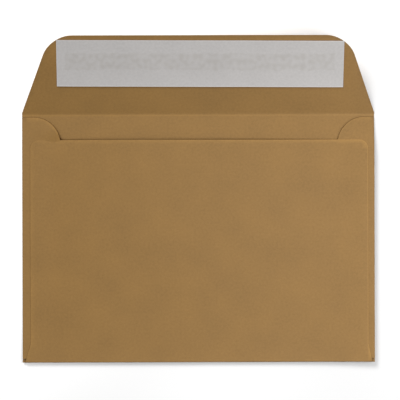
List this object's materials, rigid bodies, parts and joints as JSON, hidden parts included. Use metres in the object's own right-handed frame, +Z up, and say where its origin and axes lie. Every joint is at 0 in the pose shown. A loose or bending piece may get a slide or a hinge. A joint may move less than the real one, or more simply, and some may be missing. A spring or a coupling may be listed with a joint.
{
  "type": "paper envelope",
  "caption": "Kraft paper envelope lying open: a flat folded pocket with glued side seams, a raised seal flap with rounded corners, an adhesive strip and its release liner.",
  "frame": {"origin": "the middle of the front panel's outer face, which lies on the table; the middle is taken between the side folds and between the bottom fold and the seal flap's fold", "axes": "+X along the envelope's width, +Y from the bottom fold towards the seal flap, +Z up, out of the back of the envelope"},
  "size_m": [0.162, 0.1496, 0.0131],
  "materials": {
    "kraft_paper": "matte",
    "liner_paper": "satin",
    "clear_adhesive": "satin",
    "dried_glue": "matte"
  },
  "bodies": {
    "root": {"folded_sheet": "kraft_paper", "left_seam_glue": "dried_glue", "right_seam_glue": "dried_glue", "seal_adhesive": "clear_adhesive", "release_liner": "liner_paper"}
  },
  "joints": []
}
